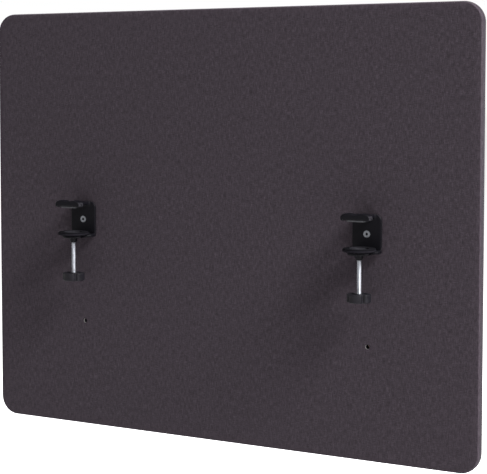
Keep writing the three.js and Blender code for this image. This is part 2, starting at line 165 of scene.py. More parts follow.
def ring_faces(rings, steps, loop):
    """Faces between rings of points, and in a loop from the last ring to the first."""
    faces = []
    for i in range(rings if loop else rings - 1):
        a, b = i * steps, (i + 1) % rings * steps
        for j in range(steps):
            k = (j + 1) % steps
            faces.append((a + j, a + k, b + k, b + j))
    return faces


def turned(name, profile, steps=64, loop=True, radius_of=None, along_y=False, at=(0, 0, 0)):
    """A profile of (radius, height) turned about Z, or about +Y.

    radius_of(radius, angles, height) gives the radii of one level where it isn't round.
    """
    angles = np.arange(steps) / steps * TURN
    points = []
    for radius, height in profile:
        radii = np.full(steps, radius) if radius_of is None else radius_of(radius, angles, height)
        x, y = radii * np.cos(angles), radii * np.sin(angles)
        level = np.full(steps, height)
        points.append(np.stack((x, level, -y) if along_y else (x, y, level), 1))
    points = np.concatenate(points) + np.array(at)
    return mesh_object(name, points, ring_faces(len(profile), steps, loop))


def slab(outline, low, high, edge, place, steps=3):
    """Points and faces of an outline given thickness, with its edges rounded.

    place(u, v, w) puts a point of the outline, and its level, in the frame.
    """
    outline = np.array(outline)
    after = np.roll(outline, -1, 0)
    tangent = after - np.roll(outline, 1, 0)
    tangent /= np.linalg.norm(tangent, axis=1)[:, None]
    area = np.sum(outline[:, 0] * after[:, 1] - after[:, 0] * outline[:, 1])
    inward = np.stack((-tangent[:, 1], tangent[:, 0]), 1) * np.sign(area)
    turns = np.linspace(0, math.pi / 2, steps + 1)
    layers = [(edge * (1 - math.sin(a)), low + edge * (1 - math.cos(a))) for a in turns]
    layers += [(edge * (1 - math.cos(a)), high - edge * (1 - math.sin(a))) for a in turns]
    points = []
    for inset, level in layers:
        for u, v in outline + inward * inset:
            points.append(place(u, v, level))
    count = len(outline)
    faces = ring_faces(len(layers), count, False)
    faces += [tuple(range(count)), tuple(range(len(points) - count, len(points)))]
    return points, faces


def rectangle(half_x, half_y, corner, steps, middle):
    """Outline of a rectangle with round corners. Its half sizes reach to the corners' centres."""
    outline = []
    for quarter, (sx, sy) in enumerate(QUARTERS):
        for step in range(steps + 1):
            angle = (quarter + step / steps) * TURN / 4
            outline.append((sx * half_x + corner * math.cos(angle) + middle[0],
                            sy * half_y + corner * math.sin(angle) + middle[1]))
    return outline


def thread_wave(pitch, angles, height):
    """0 to 1 and back along a thread's flank, once in each pitch."""
    return np.abs(((height / pitch - angles / TURN) % 1.0) * 2 - 1)


# --- Materials --------------------------------------------------------------------------------
class Look:
    """A node material round one Principled shader, whose constants sit on its own sockets."""

    def __init__(self, name, **constants):
        self.material = bpy.data.materials.new(name)
        self.material.use_nodes = True
        self.tree = self.material.node_tree
        self.shader = self.tree.nodes["Principled BSDF"]
        for socket, value in constants.items():
            self.shader.inputs[socket.replace("_", " ")].default_value = value

    def node(self, kind, inputs, **settings):
        made = self.tree.nodes.new("ShaderNode" + kind)
        for name, value in settings.items():
            setattr(made, name, value)
        for socket, value in inputs.items():
            if isinstance(value, bpy.types.NodeSocket):
                self.tree.links.new(value, made.inputs[socket])
            else:
                made.inputs[socket].default_value = value
        return made

    def position(self):
        """The point's place on its object, in millimetres."""
        found = self.node("TexCoord", {}).outputs["Object"]
        return self.scaled(found, (1 / MM, 1 / MM, 1 / MM))

    def flat(self):
        """The point's place on the uncut cloth, in millimetres."""
        return self.node("Attribute", {}, attribute_name="flat").outputs["Vector"]

    def scaled(self, vector, factors):
        return self.node("VectorMath", {0: vector, 1: factors}, operation="MULTIPLY").outputs[0]

    def math(self, operation, first, second=0.0, third=0.0):
        return self.node("Math", {0: first, 1: second, 2: third}, operation=operation).outputs[0]

    def from_axis(self, place, level, along):
        """How far a point is from an axis of its clamp, in millimetres.

        The axis runs along Y (along = 1) or Z (along = 2). `level` is where it lies on the other.
        """
        split = self.node("SeparateXYZ", {0: place}).outputs
        across = self.math("SUBTRACT", self.math("ABSOLUTE", split[0]), CLAMP_X["right"])
        other = self.math("SUBTRACT", split[3 - along], level)
        squared = self.math("MULTIPLY", other, other)
        return self.math("SQRT", self.math("MULTIPLY_ADD", across, across, squared))

    def noise(self, vector, scale=1.0, detail=2.0, roughness=0.5):
        inputs = {"Vector": vector, "Scale": scale, "Detail": detail, "Roughness": roughness}
        return self.node("TexNoise", inputs).outputs["Fac"]

    def span(self, value, low, high, to_low=0.0, to_high=1.0):
        inputs = {"Value": value, "From Min": low, "From Max": high,
                  "To Min": to_low, "To Max": to_high}
        return self.node("MapRange", inputs).outputs["Result"]

    def mixed(self, first, share, second, other_share):
        """Two tones added in the given shares."""
        return self.math("MULTIPLY_ADD", first, share, self.math("MULTIPLY", second, other_share))

    def ramp(self, value, *stops):
        made = self.node("ValToRGB", {"Fac": value})
        elements = made.color_ramp.elements
        while len(elements) < len(stops):
            elements.new(0.5)
        for element, (place, colour) in zip(elements, stops):
            element.position = place
            element.color = (*colour, 1)
        return made.outputs["Color"]

    def bump(self, height, distance, strength=1.0, normal=None):
        inputs = {"Height": height, "Distance": distance * MM, "Strength": strength}
        if normal is not None:
            inputs["Normal"] = normal
        return self.node("Bump", inputs).outputs["Normal"]

    def set(self, **links):
        for socket, value in links.items():
            self.tree.links.new(value, self.shader.inputs[socket.replace("_", " ")])
        return self.material


def cloth_look():
    """Plain-weave melange: slubby yarns both ways, flecked fibres, and a soft nap.

    A painted highlight lightens the cloth where it bends over the board's edge, and painted shade
    darkens the edge's flat side.
    """
    dark, middle = (0.0058, 0.0045, 0.0057), (0.0155, 0.0122, 0.0152)
    light = (0.033, 0.0268, 0.0328)
    yarn, slub, patch_width, patch_height = 0.95, 9.0, 4.0, 7.0
    yarn_share, fleck_share, patch_share = 0.52, 0.34, 0.14
    # Gains of the painted highlight on the edge's rounding and the painted shade on its flat side.
    bend_highlight, side_shade = 0.50, -0.14
    look = Look("plum_melange_cloth", Specular_IOR_Level=0.05, Sheen_Weight=0.05,
                Sheen_Roughness=0.4, Sheen_Tint=(0.62, 0.56, 0.63, 1))
    flat = look.flat()
    along = look.noise(look.scaled(flat, (1 / yarn, 1 / slub, 1)), 1.0, 2.0, 0.6)
    across = look.noise(look.scaled(flat, (1 / slub, 1 / yarn, 1)), 1.3, 2.0, 0.6)
    split = look.node("SeparateXYZ", {0: flat}).outputs
    waves = [look.math("SINE", look.math("MULTIPLY", split[i], math.pi / yarn)) for i in (0, 1)]
    cross = look.math("MULTIPLY", *waves)
    over = look.math("GREATER_THAN", cross, 0.0)
    yarns = look.node("Mix", {0: over, 2: across, 3: along}).outputs[0]
    fleck = look.noise(flat, 2.6, 3.0, 0.7)
    patch = look.noise(look.scaled(flat, (1 / patch_width, 1 / patch_height, 1)), 1.0, 2.0, 0.5)
    tone = look.mixed(yarns, yarn_share, fleck, fleck_share)
    tone = look.math("MULTIPLY_ADD", patch, patch_share, tone)
    colour = look.ramp(tone, (0.36, dark), (0.5, middle), (0.66, light))
    # Painted light on the edge: shade on its flat side and a highlight on its rounding, scaled
    # into the colour.
    normal = look.node("NewGeometry", {}).outputs["Normal"]
    facing = look.math("ABSOLUTE", look.node("SeparateXYZ", {0: normal}).outputs[1])
    off_face = look.span(facing, 0.97, 0.8)
    bend = look.math("MULTIPLY", off_face, look.span(facing, 0.1, 0.45))
    painted_edge_light = look.math("MULTIPLY_ADD", off_face, side_shade, 1.0)
    painted_edge_light = look.math("MULTIPLY_ADD", bend, bend_highlight, painted_edge_light)
    colour = look.node("VectorMath", {0: colour, "Scale": painted_edge_light}, operation="SCALE").outputs[0]
    height = look.math("POWER", look.math("ABSOLUTE", cross), 0.7)
    height = look.math("MULTIPLY_ADD", yarns, 0.5, height)
    rough = look.span(fleck, 0.2, 0.8, 0.86, 0.98)
    weave = look.bump(height, 0.22, 0.55)
    nap = look.bump(look.noise(flat, 5.0, 2.0), 0.05, 0.4, weave)
    return look.set(Base_Color=colour, Roughness=rough, Normal=nap)


def powder_look():
    """Black powder coat: satin, with fine orange peel, rubbed edges and worn ends on the head."""
    look = Look("bracket_powder_coat", Specular_IOR_Level=0.04)
    place = look.position()
    peel = look.noise(place, 0.9, 2.0)
    grain = look.noise(place, 3.2, 2.0)
    height = look.math("MULTIPLY_ADD", grain, 0.35, peel)
    edges = look.node("NewGeometry", {}).outputs["Pointiness"]
    rubbed = look.math("MULTIPLY", look.span(edges, 0.53, 0.6), look.noise(place, 0.6, 3.0))
    normal = look.node("NewGeometry", {}).outputs["Normal"]
    sideways = look.math("ABSOLUTE", look.node("SeparateXYZ", {0: normal}).outputs[0])
    depth = look.node("SeparateXYZ", {0: place}).outputs[1]
    on_head = look.math("LESS_THAN", depth, JAW_HEAD_BACK)
    on_end = look.math("MULTIPLY", look.span(sideways, 0.6, 0.9), on_head)
    patches = look.span(look.noise(place, 0.8, 3.0), 0.3, 0.6, 0.25, 0.6)
    worn = look.math("MULTIPLY", on_end, patches)
    tone = look.mixed(look.math("MAXIMUM", rubbed, worn), 0.7, peel, 0.3)
    black, coat, bare = (0.0016, 0.0015, 0.0021), (0.0026, 0.0024, 0.0034), (0.022, 0.021, 0.024)
    colour = look.ramp(tone, (0.05, black), (0.3, coat), (0.8, bare))
    rough = look.span(peel, 0.25, 0.75, 0.34, 0.50)
    return look.set(Base_Color=colour, Roughness=rough, Normal=look.bump(height, 0.06, 0.7))


def metal_look(name, low, high, roughness):
    """Plated steel: turning marks, a faint bloom, and painted shade in a screw's socket."""
    look = Look(name, Metallic=1.0)
    place = look.position()
    marks = look.noise(look.scaled(place, (0.25, 0.25, 6.0)), 1.0, 2.0)
    bloom = look.noise(place, 0.35, 3.0, 0.6)
    tone = look.mixed(marks, 0.35, bloom, 0.65)
    # Painted shade: the screw's socket is darkened in the colour, within SOCKET_SHADE of its axis.
    in_shaded_socket = look.span(look.from_axis(place, SCREW_Z, 1), SOCKET_SHADE, SOCKET_SHADE - 0.3)
    tone = look.math("MULTIPLY", tone, look.math("SUBTRACT", 1.0, in_shaded_socket))
    painted_socket_shade = (0.004, 0.004, 0.005)
    colour = look.ramp(tone, (0.0, painted_socket_shade), (0.3, low), (0.7, high))
    rough = look.span(bloom, 0.3, 0.7, roughness - 0.06, roughness + 0.1)
    return look.set(Base_Color=colour, Roughness=rough, Normal=look.bump(marks, 0.012, 0.5))


PLASTIC_DARK, PLASTIC_LIGHT = (0.0024, 0.0022, 0.0030), (0.0058, 0.0053, 0.0070)


def plastic_look():
    """Moulded black plastic with a fine spark-eroded grain."""
    look = Look("moulded_black_plastic", Specular_IOR_Level=0.08)
    place = look.position()
    grain = look.noise(place, 3.6, 3.0, 0.65)
    flow = look.noise(place, 0.12, 2.0)
    tone = look.mixed(grain, 0.4, flow, 0.6)
    colour = look.ramp(tone, (0.3, PLASTIC_DARK), (0.7, PLASTIC_LIGHT))
    rough = look.span(flow, 0.3, 0.7, 0.42, 0.56)
    return look.set(Base_Color=colour, Roughness=rough, Normal=look.bump(grain, 0.03, 0.7))


def pad_look():
    """Grey soft rubber with a fine closed-cell surface and a dusty bloom."""
    low, high, pore = (0.020, 0.020, 0.022), (0.040, 0.040, 0.043), 0.35
    look = Look("grey_pad_rubber", Specular_IOR_Level=0.08)
    place = look.position()
    cells = look.node("TexVoronoi", {"Vector": place, "Scale": 1 / pore}).outputs["Distance"]
    bloom = look.noise(place, 0.3, 3.0, 0.6)
    colour = look.ramp(look.mixed(cells, 0.3, bloom, 0.7), (0.3, low), (0.75, high))
    rough = look.span(bloom, 0.3, 0.7, 0.78, 0.95)
    return look.set(Base_Color=colour, Roughness=rough, Normal=look.bump(cells, 0.05, 0.6))


def foot_look(name, low, high):
    """Black foot part with a matt surface, and painted light in the dish in its middle."""
    look = Look(name, Specular_IOR_Level=0.02)
    place = look.position()
    cells = look.noise(place, 2.4, 3.0, 0.6)
    mottle = look.noise(place, 0.35, 3.0, 0.6)
    # Painted light: the dish's floor and the liner's inner wall are lightened in the colour,
    # within DISH_RADIUS of the spindle.
    in_dish = look.span(look.from_axis(place, AXIS_Y, 2), DISH_RADIUS + 0.4, DISH_RADIUS)
    colour = look.ramp(look.mixed(cells, 0.3, mottle, 0.7), (0.3, low), (0.75, high))
    dish_light_low, dish_light_high = (0.0085, 0.0082, 0.0098), (0.015, 0.0146, 0.0170)
    dish_light = look.ramp(mottle, (0.3, dish_light_low), (0.7, dish_light_high))
    colour = look.node("Mix", {0: in_dish, 6: colour, 7: dish_light}, data_type="RGBA").outputs[2]
    rough = look.span(mottle, 0.3, 0.7, 0.78, 0.95)
    return look.set(Base_Color=colour, Roughness=rough, Normal=look.bump(cells, 0.04, 0.6))


def felt_look():
    """Pressed grey felt: matted fibres in all directions."""
    look = Look("pressed_felt", Specular_IOR_Level=0.1, Sheen_Weight=0.3)
    place = look.position()
    strands = look.noise(look.scaled(place, (0.5, 3.0, 4.0)), 1.0, 3.0)
    crossing = look.noise(look.scaled(place, (4.0, 3.0, 0.5)), 1.0, 3.0)
    tone = look.math("MULTIPLY", look.math("ADD", strands, crossing), 0.5)
    colour = look.ramp(tone, (0.35, (0.08, 0.078, 0.075)), (0.65, (0.19, 0.185, 0.175)))
    rough = look.span(strands, 0.2, 0.8, 0.9, 1.0)
    return look.set(Base_Color=colour, Roughness=rough, Normal=look.bump(tone, 0.3, 0.8))


def core_look():
    """Raw particle board: pale chips in a darker binder."""
    look = Look("particle_board", Specular_IOR_Level=0.2)
    place = look.position()
    chips = look.node("TexVoronoi", {"Vector": look.scaled(place, (0.22, 0.5, 0.5)), "Scale": 1.0})
    shade = look.mixed(look.noise(place, 0.4, 3.0), 0.5, chips.outputs["Distance"], 0.5)
    pale, wood, binder = (0.48, 0.33, 0.18), (0.37, 0.24, 0.12), (0.18, 0.11, 0.055)
    colour = look.ramp(shade, (0.2, pale), (0.45, wood), (0.75, binder))
    rough = look.span(shade, 0.1, 0.8, 0.75, 0.95)
    return look.set(Base_Color=colour, Roughness=rough, Normal=look.bump(shade, 0.3, 0.6))


def floor_look():
    """A plain pale floor with the faintest unevenness."""
    look = Look("pale_floor", Specular_IOR_Level=0.1)
    cloud = look.noise(look.position(), 0.004, 2.0)
    colour = look.ramp(cloud, (0.3, (0.86, 0.86, 0.86)), (0.7, (0.90, 0.90, 0.90)))
    return look.set(Base_Color=colour, Roughness=look.span(cloud, 0.3, 0.7, 0.7, 0.85))


cloth = cloth_look()
powder = powder_look()
zinc = metal_look("dulled_zinc", (0.09, 0.093, 0.102), (0.165, 0.17, 0.185), 0.42)
bright_zinc = metal_look("bright_zinc", (0.26, 0.265, 0.285), (0.40, 0.41, 0.44), 0.45)
plastic = plastic_look()
pad_rubber = pad_look()
liner_rubber = foot_look("black_liner_rubber", (0.0015, 0.0014, 0.0019), (0.0038, 0.0036, 0.0046))
disc_plastic = foot_look("moulded_disc_plastic", PLASTIC_DARK, PLASTIC_LIGHT)
felt = felt_look()
chipboard = core_look()


# --- Board ------------------------------------------------------------------------------------
def board_outline(inset):
    """Points round the board, `inset` inside its outline, and the outward direction at each."""
    corner_steps, spacing = 14, 12.0
    points, outward = [], []
    half = np.array(BOARD) / 2 - BOARD_CORNER
    for quarter, (sx, sz) in enumerate(QUARTERS):
        for step in range(corner_steps + 1):
            angle = (quarter + step / corner_steps) * math.pi / 2
            away = np.array((math.cos(angle), math.sin(angle)))
            points.append(half * (sx, sz) + away * (BOARD_CORNER - inset))
            outward.append(away)
        run = (2 * half[0], 2 * half[1])[quarter % 2]
        pieces = int(run // spacing)
        start, away = points[-1], outward[-1]
        ahead = np.array((-away[1], away[0]))
        for step in range(1, pieces):
            points.append(start + ahead * run * step / pieces)
            outward.append(away)
    return np.array(points) + (0, BOARD_MIDDLE_Z), np.array(outward)


def relief(x, z, holes):
    """How far the cloth sinks at a point of the face: slight waves, and a curl into each hole."""
    wave_depth, wave_length, wave_seed = 0.2, 95, 1.7
    border, fade_width = 3.0, 25.0
    curl_depth, curl_width = 0.26, 0.8
    inside_x = BOARD[0] / 2 - abs(x)
    inside_z = BOARD[1] / 2 - abs(z - BOARD_MIDDLE_Z)
    fade = min(1.0, max(0.0, (min(inside_x, inside_z) - border) / fade_width))
    wave = noise.noise(Vector((x / wave_length, z / wave_length, wave_seed)))
    sink = wave_depth * fade * (0.5 + 0.5 * wave)
    for hole_x, hole_z in holes:
        away = math.hypot(x - hole_x, z - hole_z) - CLOTH_HOLE
        sink = max(sink, curl_depth * math.exp(-max(away, 0.0) / curl_width))
    return sink


def face_mesh(holes):
    """Points in X and Z, and triangles, of the board's flat face with its round holes."""
    border, _ = board_outline(EDGE)
    points = [Vector(p) for p in border]
    loops = [list(range(len(border)))]
    hole_steps, around_holes, clear_of_holes = 28, (3.4, 4.1, 5.4, 7.5), 11
    pitch, row_share, margin, corner_margin = 10.0, 0.866, 9, 7
    for hole_x, hole_z in holes:
        loops.append(list(range(len(points), len(points) + hole_steps)))
        for radius in (CLOTH_HOLE, *around_holes):
            for step in range(hole_steps):
                angle = step / hole_steps * TURN
                x, z = hole_x + radius * math.cos(angle), hole_z + radius * math.sin(angle)
                points.append(Vector((x, z)))
    half_x, half_z = BOARD[0] / 2 - margin, BOARD[1] / 2 - margin
    straight_x, straight_z = BOARD[0] / 2 - BOARD_CORNER, BOARD[1] / 2 - BOARD_CORNER
    rows = int(half_z * 2 / (pitch * row_share))
    for row in range(rows + 1):
        z = BOARD_MIDDLE_Z - half_z + row * 2 * half_z / rows
        shift = pitch / 2 * (row % 2)
        for column in range(int(half_x * 2 / pitch) + 1):
            x = -half_x + shift + column * pitch
            corner = (abs(x) - straight_x, abs(z - BOARD_MIDDLE_Z) - straight_z)
            in_corner = min(corner) > 0 and math.hypot(*corner) > BOARD_CORNER - corner_margin
            near_hole = any(math.hypot(x - hx, z - hz) < clear_of_holes for hx, hz in holes)
            if abs(x) <= half_x and not in_corner and not near_hole:
                points.append(Vector((x, z)))
    edges = [(loop[i], loop[(i + 1) % len(loop)]) for loop in loops for i in range(len(loop))]
    made, _, triangles, _, _, _ = delaunay_2d_cdt(points, edges, [loops[0]], 1, 1e-7)

    def is_cloth(triangle):
        middle = sum((made[i] for i in triangle), Vector((0, 0))) / len(triangle)
        return all(math.hypot(middle.x - hx, middle.y - hz) > CLOTH_HOLE for hx, hz in holes)

    return made, [t for t in triangles if is_cloth(t)]


def cover(name, is_front):
    """The cloth over one face and half of the edge, with its raw edge tucked in at the seam."""
    holes = [(x, z) for x in CLAMP_X.values() for z in (SCREW_Z, SPARE_Z)] if is_front else []
    seam = (BOARD_FRONT + BOARD_BACK) / 2 - SEAM_GAP / 2
    profile = [(0.75, seam), (0.45, seam - 0.03), (0.18, seam - 0.2), (0.03, seam - 0.6)]
    straight, bend_steps, back_weave = 1.3, 9, 40.0
    bulge = seam - straight - BOARD_FRONT
    for step in range(bend_steps + 1):
        angle = step / bend_steps * math.pi / 2
        profile.append((EDGE * (1 - math.cos(angle)), BOARD_FRONT + bulge * (1 - math.sin(angle))))
    points, flats, faces = [], [], []
    base, outward = board_outline(EDGE)
    lengths = [math.dist(a, b) for a, b in zip(profile, profile[1:])]
    for index, (inset, y) in enumerate(profile):
        run = sum(lengths[index:])
        ring, _ = board_outline(inset)
        for (x, z), (bx, bz), (nx, nz) in zip(ring, base, outward):
            points.append((x, y, z))
            flats.append((bx + nx * run, bz + nz * run, 0.0))
    faces += ring_faces(len(profile), len(base), False)
    first = len(points)
    made, triangles = face_mesh(holes)
    for x, z in made:
        points.append((x, BOARD_FRONT + relief(x, z, holes), z))
        flats.append((x, z, 0.0))
    faces += [tuple(first + i for i in triangle) for triangle in triangles]
    points, flats = np.array(points), np.array(flats)
    if not is_front:
        points[:, 1] = BOARD_FRONT + BOARD_BACK - points[:, 1]
        flats[:, 2] = back_weave
    mesh = bpy.data.meshes.new(name)
    mesh.from_pydata([tuple(p * MM) for p in points], [], faces)
    attribute = mesh.attributes.new("flat", "FLOAT_VECTOR", "POINT")
    attribute.data.foreach_set("vector", flats.astype(np.float32).ravel())
    work = bmesh.new()
    work.from_mesh(mesh)
    bmesh.ops.remove_doubles(work, verts=work.verts, dist=CLOTH_MERGE_WITHIN)
    bmesh.ops.recalc_face_normals(work, faces=work.faces)
    middle = max(work.faces, key=lambda f: f.calc_area())
    if (middle.normal.y < 0) != is_front:
        bmesh.ops.reverse_faces(work, faces=work.faces)
    work.to_mesh(mesh)
    work.free()
    mesh.shade_smooth()
    made_object = bpy.data.objects.new(name, mesh)
    bpy.context.scene.collection.objects.link(made_object)
    shell = made_object.modifiers.new("thickness", "SOLIDIFY")
    shell.thickness = CLOTH * MM
    shell.offset = -1
    shell.use_even_offset = True
    applied(made_object)
    made_object.data.set_sharp_from_angle(angle=math.radians(SOFT_SMOOTH_BELOW))
    return made_object


front = cover("front_cover_cloth", True)
finish_piece(front, cloth, "root", "cover_cloth", "front_cover")
back = cover("back_cover_cloth", False)
finish_piece(back, cloth, "root", "cover_cloth", "back_cover")


def insert(name, x, z):
    """Flanged insert with a real M5 thread in its bore and a knurled body."""
    bore, body, length = 2.8, 4.0, 7.0
    thread_depth, knurl_depth, knurls = 0.26, 0.12, 24
    profile = [(bore, level) for level in np.linspace(0.4, length - 0.3, 56)]
    profile += [(3.1, length), (3.6, length), (body, length - 0.4), (body, 1.0)]
    profile += [(5.3, 1.0), (5.5, 0.85), (5.5, 0.2), (5.3, 0.0), (3.15, 0.0)]

    def shape(radius, angles, height):
        if radius == bore:
            return bore - thread_depth * thread_wave(M5_PITCH, angles, height)
        if radius == body:
            return radius - knurl_depth * np.cos(knurls * angles) ** 2
        return np.full(len(angles), radius)

    return turned(name, profile, 72, True, shape, True, (x, INSERT_FRONT, z))


for side, clamp_x in CLAMP_X.items():
    for kind, place_z in (("insert", SCREW_Z), ("spare_insert", SPARE_Z)):
        node = f"{side}_{kind}"
        piece = insert(f"{node}_threaded", clamp_x, place_z)
        finish_piece(piece, powder, "root", "bracket_paint", node)


# --- Clamp ------------------------------------------------------------------------------------
def joined_slabs(name, slabs, voxel, smoothing):
    """One skin over overlapping slabs, its corners and edges softened like a cast part's."""
    points, faces = [], []
    for part_points, part_faces in slabs:
        faces += [tuple(i + len(points) for i in face) for face in part_faces]
        points += list(part_points)
    made = mesh_object(name, points, faces)
    skin = made.modifiers.new("skin", "REMESH")
    skin.mode = "VOXEL"
    skin.voxel_size = voxel * MM
    soft = made.modifiers.new("soft", "SMOOTH")
    soft.factor = 0.5
    soft.iterations = smoothing
    return applied(made)


def cut_with(target, *cutters):
    """Cuts holes through the target."""
    for cutter in cutters:
        cut = target.modifiers.new("hole", "BOOLEAN")
        cut.operation = "DIFFERENCE"
        cut.solver = "EXACT"
        cut.object = cutter
    applied(target)
    for cutter in cutters:
        bpy.data.objects.remove(cutter)


def plate_slab():
    """The upright plate that is screwed to the board."""
    width, front_y, back_y, bottom, top = PLATE
    half_x, half_z = width / 2 - PLATE_CORNER, (top - bottom) / 2 - PLATE_CORNER
    outline = rectangle(half_x, half_z, PLATE_CORNER, 12, (0.0, (top + bottom) / 2))
    return slab(outline, front_y, back_y, BRACKET_EDGE, lambda u, v, w: (u, w, v))


def mirrored(half, tip=()):
    """A half outline with x > 0, closed by its mirror image, with any points of tip between."""
    return [*half, *tip, *((-x, y) for x, y in reversed(half))]


def jaw_slab():
    """The upper jaw's bar, which starts wide at the plate and flares into the head."""
    front_y, back_y = PLATE[1], PLATE[2]
    foot, wing = JAW_NECK + 3, JAW_HEAD - 1.5
    half = [(foot, back_y - 1), (foot, front_y)]
    half += list(curve((foot, front_y), (JAW_NECK, front_y), (JAW_NECK, front_y - 5), 8))[1:]
    flare = ((JAW_NECK, JAW_HEAD_BACK + 8), (JAW_NECK, JAW_HEAD_BACK), (wing, JAW_HEAD_BACK))
    half += list(curve(*flare, 12))
    half += [(wing, JAW_TIP + 3)]
    outline = mirrored([tuple(p) for p in half])
    return slab(outline, *JAW, BRACKET_EDGE, lambda u, v, w: (u, v, w))


def head_slab():
    """The jaw's head, from the front: two crests on top, and a toe at each end by the pad."""
    base, shoulder, inner, dip = JAW[0], CREST_X + 4, CREST_X - 5, 4
    side, below = (JAW_HEAD, HEAD_SIDE), CREST_Z - 0.8
    other_side = (-JAW_HEAD, HEAD_SIDE)
    crests = [
        (side, (JAW_HEAD, below), (shoulder, CREST_Z), (CREST_X, CREST_Z)),
        ((CREST_X, CREST_Z), (inner, CREST_Z), (dip, SADDLE_Z), (0, SADDLE_Z)),
        ((0, SADDLE_Z), (-dip, SADDLE_Z), (-inner, CREST_Z), (-CREST_X, CREST_Z)),
        ((-CREST_X, CREST_Z), (-shoulder, CREST_Z), (-JAW_HEAD, below), other_side),
    ]
    outline = [tuple(p) for part in crests for p in bezier(*part, 14)]
    toe = curve(other_side, (-JAW_HEAD, TOE_Z), (-TOE_MIDDLE, TOE_Z), 8)
    outline += [tuple(p) for p in toe[:-1]]
    outline += [(-TOE_MIDDLE, TOE_Z), (-TOE_INNER, base), (TOE_INNER, base), (TOE_MIDDLE, TOE_Z)]
    toe = curve((TOE_MIDDLE, TOE_Z), (JAW_HEAD, TOE_Z), side, 8)
    outline += [tuple(p) for p in toe[1:-1]]
    return slab(outline, JAW_TIP, JAW_HEAD_BACK, HEAD_EDGE, lambda u, v, w: (u, w, v), 4)


def arm_slab():
    """The lower arm, as wide as the plate, with a round end about the spindle."""
    half_width, front_y, back_y = PLATE[0] / 2, PLATE[1], PLATE[2]
    right = [(half_width, back_y - 1), (half_width, front_y - 9)]
    angles = np.linspace(math.radians(22), -math.pi / 2, 22)
    end = [(ARM_END * math.cos(a), AXIS_Y + ARM_END * math.sin(a)) for a in angles]
    outline = mirrored(right + end[:-1], end[-1:])
    return slab(outline, *ARM, BRACKET_EDGE, lambda u, v, w: (u, v, w))


def fillet_slab(corner_z, direction):
    """The hollow quarter round between the plate and an arm."""
    front_y, buried_z = PLATE[1], corner_z - direction
    back_y, centre_z = front_y + 1, corner_z + direction * FILLET
    arc = [(front_y - FILLET + FILLET * math.cos(a), centre_z - direction * FILLET * math.sin(a))
           for a in np.linspace(0, math.pi / 2, 8)]
    outline = [(back_y, buried_z), (back_y, centre_z)] + arc + [(front_y - FILLET, buried_z)]
    ends, sharp = (-FILLET_HALF_WIDTH, FILLET_HALF_WIDTH), 0.01
    return slab(outline, *ends, sharp, lambda u, v, w: (w, u, v))


def bracket(name, x):
    """Plate, jaw and arm in one skin, with the screw's seat, the bush's hole and the dimples."""
    slabs = [plate_slab(), jaw_slab(), head_slab(), arm_slab()]
    slabs += [fillet_slab(JAW[0], -1), fillet_slab(ARM[1], 1)]
    made = joined_slabs(name, slabs, BRACKET_VOXEL, BRACKET_SMOOTHING)
    seat = [(0, -1), (5.0, -1), (5.0, 0.4), (2.8, 2.6), (2.8, 5), (0, 5)]
    screw = turned("screw_cutter", seat, 64, False, None, True, (0, 0, SCREW_Z))
    hole = [(0, -47), (5.3, -47), (5.3, -37), (0, -37)]
    bush = turned("bush_cutter", hole, 64, False, None, False, (0, AXIS_Y, 0))
    dimple = [(0, -3), (1.9, -3), (1.5, 0), (1.3, 0.9), (0.8, 1.2), (0, 1.2)]
    ends = []
    for turn, end_x in ((-TURN / 4, JAW_HEAD), (TURN / 4, -JAW_HEAD)):
        end = turned("dimple_cutter", dimple, 32, False)
        place = [c * MM for c in (end_x, JAW_TIP + DIMPLE_BEHIND_TIP, DIMPLE_Z)]
        end.data.transform(Matrix.Translation(place) @ Matrix.Rotation(turn, 4, "Y"))
        ends.append(end)
    cut_with(made, screw, bush, *ends)
    made.data.shade_smooth()
    made.data.set_sharp_from_angle(angle=math.radians(SOFT_SMOOTH_BELOW))
    made.data.transform(Matrix.Translation((x * MM, 0, 0)))
    return made


def jaw_pad(name, x):
    """Soft pad under the jaw's head, with rounded edges."""
    back_y, front_y = (JAW_TIP + reach for reach in PAD_REACH)
    half_x, half_y = PAD_HALF_WIDTH - PAD_CORNER, (back_y - front_y) / 2 - PAD_CORNER
    outline = rectangle(half_x, half_y, PAD_CORNER, 8, (x, (back_y + front_y) / 2))
    points, faces = slab(outline, 0.0, PAD_TOP, PAD_EDGE, lambda u, v, w: (u, v, w))
    return mesh_object(name, points, faces)


def mounting_screw(name, x):
    """Countersunk screw, flush in the plate: hexagon socket, sharp rim, rolled M5 thread."""
    half_flats, chamfer, sunk = 1.5, 1.12, 0.1
    radius, thread_depth, sector = 2.5, 0.42, TURN / 6
    profile = [(0.0, 3.1), (0.9, 2.7), ("hex", 2.3), ("hex", 0.35), ("hex out", sunk)]
    profile += [(2.6, sunk), (3.6, sunk), (4.55, sunk), (4.75, 0.2), (4.8, 0.4)]
    profile += [(4.4, 0.8), (2.75, 2.45), (radius, 2.8)]
    profile += [("thread", level) for level in np.linspace(3.0, 13.4, 104)]
    profile += [(1.9, 14.0), (0.0, 14.0)]

    def shape(kind, angles, height):
        if kind in ("hex", "hex out"):
            half = half_flats * (1.0 if kind == "hex" else chamfer)
            return half / np.cos((angles + sector / 2) % sector - sector / 2)
        if kind == "thread":
            return radius - thread_depth * thread_wave(M5_PITCH, angles, height)
        return np.full(len(angles), kind)

    return turned(name, profile, 84, False, shape, True, (x, 0, SCREW_Z))


def threaded_bush(name, x):
    """Flanged bush under the arm, narrowing to the spindle."""
    profile = rounded([
        (3.3, -50.5, 0.3), (4.3, -50.5, 0.5), (4.75, -48.4, 0.3), (5.15, -48.2, 0.2),
        (5.6, -44.7, 0.1), (6.6, -44.7, 0.25), (6.6, -43.8, 0.25), (5.0, -43.8, 0.1),
        (5.0, -40.0, 0.3), (3.3, -40.0, 0.3),
    ])
    return turned(name, profile, 64, True, None, False, (x, AXIS_Y, 0))


